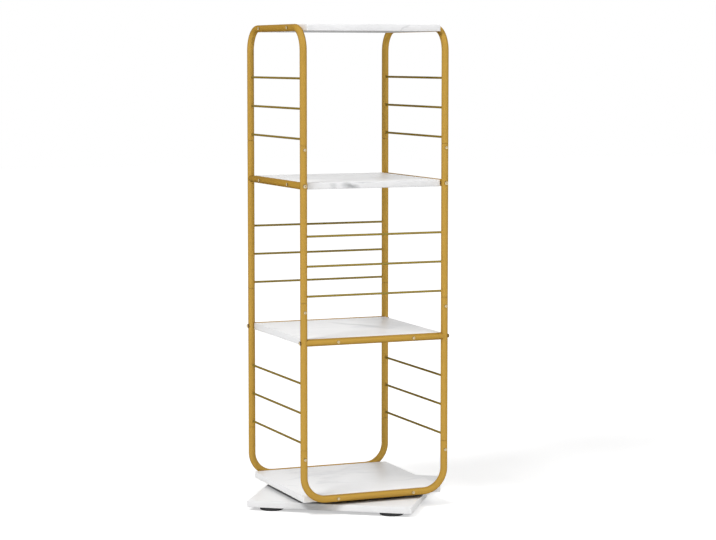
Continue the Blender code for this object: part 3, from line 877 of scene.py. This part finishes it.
def cross_cutter(width, slot, depth, top):
    """A tapered cross that cuts the recess."""
    arms = []
    for turn in (0, math.pi / 2):
        clear_selection()
        bpy.ops.mesh.primitive_cube_add(
            size=1.0, location=(0, 0, top), scale=(width, slot, 2 * depth), rotation=(0, 0, turn)
        )
        arm = settle(bpy.context.object, "arm")
        edit(arm)
        pick("faces", lambda face: face.normal.z < -0.9)
        bpy.ops.transform.resize(value=(TAPER, TAPER, 1.0), center_override=(0, 0, top - depth))
        clear_selection()
        arms.append(arm)
    cut_away(*arms, operation="UNION")
    return arms[0]


print("a screw has", SCREW_SIDES, "sides")


# %% Screw model
def screw(name, shank, length, head, height):
    """A pan-head screw along Z, with its seat at the origin and its tip below."""
    outline = [
        (shank * 0.35, -length),
        (shank, -length + shank * 0.8),
        (shank, -0.0002),
        (head * 0.96, 0.0),
        (head, height * 0.06),
        (head, height * 0.42),
        (head * 0.94, height * 0.68),
        (head * 0.80, height * 0.88),
        (head * 0.58, height),
    ]
    piece = turned(name, outline, SCREW_SIDES)
    cut_away(piece, cross_cutter(head * 1.25, head * 0.26, height * 0.62, height))
    piece.data.materials.clear()
    # The sides of the head, and the hidden shank, get the painted shade.
    coat(piece, screw_metal, painted_shade_rim_metal)
    for polygon in piece.data.polygons:
        polygon.material_index = 1 if abs(polygon.normal.z) < 0.5 else 0
    smooth(piece, 30)
    return piece


joint_screw = screw("joint_screw", shank=0.002, length=0.006, head=0.0035, height=0.0022)
shelf_screw = screw("shelf_screw", shank=0.002, length=0.030, head=0.0035, height=0.0022)
crossbar_screw = screw("crossbar_screw", shank=0.0025, length=0.028, head=0.0045, height=0.0034)
for model in (joint_screw, shelf_screw, crossbar_screw):
    report(model.name, model)

# %% [markdown]
# A screw's place and direction come from its CAD node's box. A long screw lies along the box's
# longest side, and the short ones all run from front to back. Every screw points towards the middle
# of the tower, so the sign of its place gives the direction.

# %% Place the screws
SEAT = HALF + TUBE + CLEARANCE  # from the axis to the underside of a screw's head


def aim(node, axis):
    """The matrix that moves a screw from the origin to its CAD node."""
    low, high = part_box(node)
    place = Vector([(a + b) / 2 for a, b in zip(low, high)])
    side = 1 if place[axis] > 0 else -1
    outward = Vector((0, 0, 0))
    outward[axis] = side
    place[axis] = side * SEAT
    return Matrix.Translation(place) @ outward.to_track_quat("Z", "Y").to_matrix().to_4x4()


screw_nodes = sorted(node for node in frame["nodes"] if "screw" in node)
for node in screw_nodes:
    size = box_size(node)
    if node.startswith("joint_screw"):
        model, axis = joint_screw, 1
    else:
        axis = 0 if size[0] > size[1] else 1
        model = crossbar_screw if node.startswith("crossbar") else shelf_screw
    piece = copy_of(model, f"pan_head_{node}", aim(node, axis))
    hand_over(piece, "tower", [node])
print("screws placed:", len(screw_nodes))

# %% [markdown]
# ## Feet
#
# Low round feet keep the base board off the floor. They are moulded in dark rubber with a fine matt
# grain, a rounded lower edge and a recess underneath, where a screw holds each one to the board. A
# cylinder could be bevelled and hollowed out, but a turned shape does it in one go: half of its
# outline is drawn as rings, from the top face down and back up into the recess.

# %% Rubber
rubber, shader, place = new_finish("foot_rubber", 0.72, 0.0)
grain = noise(rubber, place, 1400.0, 2.0)
black = ramp(rubber, grain, (0.018, 0.018, 0.019), (0.035, 0.035, 0.036))
link(rubber, black, shader.inputs["Base Color"])
vary_gloss(rubber, shader, grain, 0.62, 0.82)
relief(rubber, shader, grain, 0.00004, 0.6)
print("finish:", rubber.name)

# %% Foot
FOOT_HEIGHT = box_size("foot_front_left")[2]
RECESS = 0.0040  # depth of the hole that the screw's head sits in
foot_outline = [
    (0.0268, FOOT_HEIGHT), (0.0275, FOOT_HEIGHT - 0.0007), (0.0275, 0.0016), (0.0271, 0.0006),
    (0.0262, 0.0), (0.0200, 0.0), (0.0196, 0.0005), (0.0188, 0.0005), (0.0184, 0.0),
    (0.0060, 0.0), (0.0055, 0.0005), (0.0055, RECESS),
]
foot = turned("foot", foot_outline, sides=64)
coat(foot, rubber)
smooth(foot)
foot_screw = screw("foot_screw", shank=0.0018, length=0.014, head=0.0036, height=0.0020)
report("foot", foot)

# %% Place the feet and their screws
UPSIDE_DOWN = Matrix.Rotation(math.pi, 4, "X")
for corner_name in ("front_left", "front_right", "back_left", "back_right"):
    low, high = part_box(f"foot_{corner_name}")
    spot = Vector(((low[0] + high[0]) / 2, (low[1] + high[1]) / 2, 0))
    piece = copy_of(foot, f"rubber_foot_{corner_name}", Matrix.Translation(spot))
    hand_over(piece, "base", [f"foot_{corner_name}"])
    in_recess = Matrix.Translation(spot + Vector((0, 0, RECESS))) @ UPSIDE_DOWN
    piece = copy_of(foot_screw, f"foot_screw_{corner_name}", in_recess)
    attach(piece, "base")
    print(f"foot at {spot.x * 1000:.1f}, {spot.y * 1000:.1f} mm")
bpy.data.objects.remove(foot)

# %% [markdown]
# ## Turntable
#
# Two pressed steel plates run on a ring of balls. Each plate is a rounded square with a round
# opening and a raised race, and a screw in each corner holds it to its board. It all sits in a gap
# of eight millimetres, so it is seen from the side or not at all. The race is turned from its
# outline, and the plate is cut out of a square with Boolean modifiers, as a press would punch it.
# The steel is zinc-plated, and zinc sets in pale and dark spangles, which a wide noise draws.

# %% Zinc-plated steel
zinc, shader, place = new_finish("zinc_steel", 0.34, 1.0)
spangle = noise(zinc, place, 160.0, 3.0, 0.6)
spangled = ramp(zinc, spangle, (0.46, 0.47, 0.49), (0.62, 0.63, 0.65), 0.35, 0.65)
link(zinc, spangled, shader.inputs["Base Color"])
vary_gloss(zinc, shader, spangle, 0.28, 0.42)
relief(zinc, shader, noise(zinc, place, 1200.0, 2.0), FINE, 0.4)
print("finish:", zinc.name)

# %% Pressed plate
PLATE_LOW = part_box("turntable_lower_plate")[0][2]
PLATE_HEIGHT = box_size("turntable_lower_plate")[2]
PLATE_SIDE = box_size("turntable_upper_plate")[0]
PLATE_CORNER = 0.012
SHEET = 0.0012
OPENING = 0.050
HOLE = 0.00225
HOLES = [(-0.065, -0.065), (0.065, -0.065), (0.065, 0.065), (-0.065, 0.065)]
clear_selection()
bpy.ops.mesh.primitive_cube_add(
    size=1.0, location=(0, 0, SHEET / 2), scale=(PLATE_SIDE, PLATE_SIDE, SHEET)
)
plate = settle(bpy.context.object, "plate")
edit(plate)
pick("edges", lambda edge: abs(edge.verts[0].co.z - edge.verts[1].co.z) > SHEET / 2)
bpy.ops.mesh.bevel(offset=PLATE_CORNER, segments=8)
cuts = [(0, 0, OPENING, 96)] + [(x, y, HOLE, 24) for x, y in sorted(HOLES)]
for x, y, radius, sides in cuts:
    clear_selection()
    bpy.ops.mesh.primitive_cylinder_add(vertices=sides, radius=radius, depth=0.01, location=(x, y, 0))
    cut_away(plate, bpy.context.object)
round_edges(plate, DEBURR)
report("plate", plate)

# %% Raised race
BALL_CIRCLE = 0.062  # radius of the ring of balls
BALL_LEVEL = 0.0037  # a ball's centre over the plate's seat
GROOVE = 0.0023  # radius of the groove, a little more than a ball's
angles = [math.radians(degrees) for degrees in range(-70, 71, 14)]
groove = [
    (BALL_CIRCLE + GROOVE * math.sin(angle), BALL_LEVEL - GROOVE * math.cos(angle)) for angle in angles
]
race_outline = [(0.0560, 0.0009), (0.0563, 0.0027), (0.0567, PLATE_HEIGHT), *groove]
race_outline += [(0.0673, PLATE_HEIGHT), (0.0677, 0.0027), (0.0680, 0.0009)]
race = turned("race", race_outline, sides=128, hollow=True)
report("race", race)
lower_plate = join([plate, race], "lower_plate")
coat(lower_plate, zinc)
smooth(lower_plate)

# %% Place the plates and their screws
plate_screw = screw("plate_screw", shank=0.0018, length=0.010, head=0.0038, height=0.0016)
lower_place = Matrix.Translation((0, 0, PLATE_LOW)) @ Matrix.Rotation(BASE_TURN, 4, "Z")
upper_place = Matrix.Translation((0, 0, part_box("turntable_upper_plate")[1][2])) @ UPSIDE_DOWN
for level, body, matrix in (("lower", "base", lower_place), ("upper", "tower", upper_place)):
    piece = copy_of(lower_plate, f"pressed_plate_{level}", matrix)
    hand_over(piece, body, [f"turntable_{level}_plate"])
    for number, (x, y) in enumerate(HOLES, 1):
        in_hole = matrix @ Matrix.Translation((x, y, SHEET))
        piece = copy_of(plate_screw, f"plate_screw_{level}_{number}", in_hole)
        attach(piece, body)
bpy.data.objects.remove(lower_plate)
for model in (joint_screw, shelf_screw, crossbar_screw, foot_screw, plate_screw):
    bpy.data.objects.remove(model)
print("plate screws placed:", 2 * len(HOLES))

# %% [markdown]
# ## Balls and cage
#
# The balls run between the two races, and a thin ring keeps them apart. As they roll, the ring turns
# half as far as the tower. The ring is a flat strip of sheet. Each ball is a sphere that is joined
# to it, so that the twelve balls and the ring move as one piece.

# %% Ball cage
BALL = 0.002
BALLS = 12
CAGE_SHEET = 0.0006
cage_low, cage_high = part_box("ball_cage")
cage_middle = (cage_low[2] + cage_high[2]) / 2
half = CAGE_SHEET / 2
cage_outline = [(0.0575, -half), (0.0665, -half), (0.0665, half), (0.0575, half)]
parts = [turned("cage", cage_outline, sides=128, hollow=True)]
for number in range(BALLS):
    angle = 2 * math.pi * (number + 0.5) / BALLS
    spot = (BALL_CIRCLE * math.cos(angle), BALL_CIRCLE * math.sin(angle), 0)
    clear_selection()
    bpy.ops.mesh.primitive_uv_sphere_add(segments=24, ring_count=12, radius=BALL, location=spot)
    parts.append(bpy.context.object)
cage = join(parts, "balls_and_cage")
cage.data.transform(Matrix.Translation((0, 0, cage_middle)))
coat(cage, zinc)
smooth(cage)
hand_over(cage, "cage", ["ball_cage"])
report("cage", cage)

# %% [markdown]
# ## Floor and background
#
# A studio shot on white needs a floor that is white to the camera, yet keeps a soft shadow under the
# base. The floor is a pale grey, and the light it throws back up brightens the sides of the boards.
# For rays that come from the camera or from a reflection it adds a glow, which grows with the
# distance, where the lamps reach less. The world is white to the same rays. For the rays that carry
# its light on to the object it is dim overhead and nearly black at the sides, so that the
# undersides and the gap over the base stay dark.


# %% Rays that see the white background
def seen_directly(owner):
    """A number that is 1 for camera, glossy and transmission rays."""
    nodes = owner.node_tree.nodes
    path = nodes.new("ShaderNodeLightPath")
    total = path.outputs["Is Camera Ray"]
    for name in ("Is Glossy Ray", "Is Transmission Ray"):
        node = nodes.new("ShaderNodeMath")
        node.operation = "MAXIMUM"
        link(owner, total, node.inputs[0])
        link(owner, path.outputs[name], node.inputs[1])
        total = node.outputs[0]
    return total


def by_ray(owner, lighting, direct):
    """One strength for the rays that light the object, and another for the direct ones."""
    node = owner.node_tree.nodes.new("ShaderNodeMapRange")
    for socket, value in ((node.inputs["To Min"], lighting), (node.inputs["To Max"], direct)):
        if isinstance(value, float):
            socket.default_value = value
        else:
            link(owner, value, socket)
    link(owner, seen_directly(owner), node.inputs["Value"])
    return node.outputs["Result"]


DIRECT = 1.0  # the strength that renders as plain white
print("direct rays see a strength of", DIRECT)

# %% World
SIDE_LIGHT = 0.03
OVERHEAD_LIGHT = 0.31
world = bpy.data.worlds.new("white_studio")
bpy.context.scene.world = world
world.use_nodes = True
nodes = world.node_tree.nodes
background = nodes["Background"]
background.inputs["Color"].default_value = (1, 1, 1, 1)
direction = nodes.new("ShaderNodeTexCoord")
split = nodes.new("ShaderNodeSeparateXYZ")
link(world, direction.outputs["Generated"], split.inputs["Vector"])
ambient = spread(world, split.outputs["Z"], SIDE_LIGHT, OVERHEAD_LIGHT, 0.30, 0.60)
link(world, by_ray(world, ambient, DIRECT), background.inputs["Strength"])
print("world light:", SIDE_LIGHT, "at the sides,", OVERHEAD_LIGHT, "overhead")

# %% Floor
FLOOR_GREY = 0.78
NEAR_GLOW = 0.50
FAR_GLOW = 0.83
clear_selection()
bpy.ops.mesh.primitive_plane_add(size=30.0, location=(0, 0, -0.0002))  # a hair under the feet
floor = bpy.context.object
floor.name = "studio_floor"
floor_paint, shader, place = new_finish("studio_white", 1.0, 0.0)
shader.inputs["Base Color"].default_value = (FLOOR_GREY, FLOOR_GREY, FLOOR_GREY, 1)
shader.inputs["Specular IOR Level"].default_value = 0.0
shader.inputs["Emission Color"].default_value = (1, 1, 1, 1)
reach = floor_paint.node_tree.nodes.new("ShaderNodeVectorMath")
reach.operation = "LENGTH"
link(floor_paint, place, reach.inputs[0])
glow = spread(floor_paint, reach.outputs["Value"], NEAR_GLOW, FAR_GLOW, 1.0, 6.0)
link(floor_paint, by_ray(floor_paint, 0.0, glow), shader.inputs["Emission Strength"])
coat(floor, floor_paint)
print("floor glow:", NEAR_GLOW, "near the bookcase,", FAR_GLOW, "far away")

# %% [markdown]
# ## Light
#
# Soft, even light suits a plain product shot. One big lamp stands to the right of the camera and
# lights the fronts. A stronger one at the left lights the left faces, which are the palest in the
# photo. It hangs high, so that it doesn't shine into the 8 mm gap over the base, which is nearly
# black there. A weak one at the back right keeps the far sides from going grey, and the dim world
# fills the rest. The lamps are hidden from reflections: the satin tubes then mirror only the white
# surroundings, and have no hot spots.

# %% Lamps
AIM = Vector((0, 0, 0.55))  # the middle of the bookcase


def softbox(name, place, size, power):
    """A square lamp that looks at the bookcase and isn't mirrored in it."""
    lamp = bpy.data.lights.new(name, "AREA")
    lamp.shape = "SQUARE"
    lamp.size = size
    lamp.energy = power
    holder = bpy.data.objects.new(name, lamp)
    holder.location = place
    holder.rotation_euler = (AIM - Vector(place)).to_track_quat("-Z", "Y").to_euler()
    holder.visible_glossy = False
    bpy.context.scene.collection.objects.link(holder)


softbox("key_softbox", (1.6, -3.9, 4.0), size=4.0, power=135)
softbox("fill_softbox", (-3.9, -1.7, 4.5), size=2.0, power=234)
softbox("side_softbox", (4.2, 2.6, 1.5), size=2.4, power=45)

# %% [markdown]
# ## Camera
#
# The picture was taken from a little over the top shelf with a long lens, which keeps the posts
# nearly parallel. The place, the two angles and the lens come from matching the posts and the rods
# with the photo, for a picture that is 716 by 540 pixels. The small shift moves the view down, so
# that the camera itself looks down a little less steeply and the posts stay upright.

# %% Camera
LOOK_DOWN = 4.8438  # degrees
LOOK_RIGHT = 22.5148
camera = bpy.data.objects.new("camera", bpy.data.cameras.new("camera"))
camera.data.sensor_width = 36.0
camera.data.lens = 109.184
camera.data.shift_y = -0.04
camera.location = (-1.89780, -4.65054, 1.02844)
camera.rotation_euler = (math.radians(90 - LOOK_DOWN), 0, -math.radians(LOOK_RIGHT))
camera.data.clip_start = 0.1
camera.data.clip_end = 60.0
bpy.context.scene.collection.objects.link(camera)
bpy.context.scene.camera = camera
bpy.context.scene.view_settings.view_transform = "Standard"
print("lens:", round(camera.data.lens, 1), "mm")
